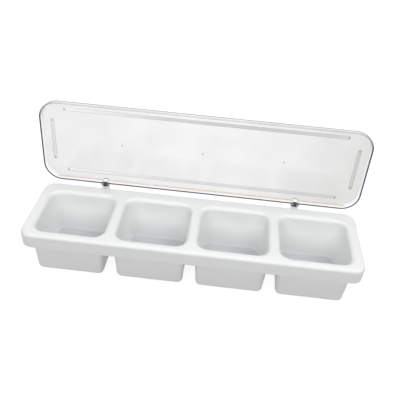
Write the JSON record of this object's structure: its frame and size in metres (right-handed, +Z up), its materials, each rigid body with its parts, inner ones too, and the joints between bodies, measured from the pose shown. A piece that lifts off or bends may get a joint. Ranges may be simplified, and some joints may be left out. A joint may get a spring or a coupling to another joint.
{
  "type": "condiment caddy",
  "caption": "Low white tray with a row of square tubs under one rim, and a full-length clear lid that swings up on pinned hinges along the rear edge.",
  "frame": {"origin": "on the table, under the middle of the caddy's bounding box with its lid open", "axes": "+X along the row of tubs, +Y from the front to the hinges at the rear, +Z up"},
  "size_m": [0.469, 0.14, 0.2022],
  "materials": {
    "white_plastic": "semi-gloss moulded, slightly milky",
    "clear_plastic": "polished clear sheet",
    "black_plastic": "satin moulded",
    "steel": "ground pin"
  },
  "bodies": {
    "tray": {"tray": "white_plastic", "hinge_knuckle_left": "black_plastic", "hinge_knuckle_right": "black_plastic", "hinge_pin_left": "steel", "hinge_pin_right": "steel"},
    "lid": {"lid": "clear_plastic"}
  },
  "joints": [
    {"name": "lid_hinge", "type": "hinge", "parent": "tray", "child": "lid", "pos_m": [0, 0.05819, 0.0745], "axis": [1, 0, 0], "range_deg": [0, 93]}
  ]
}
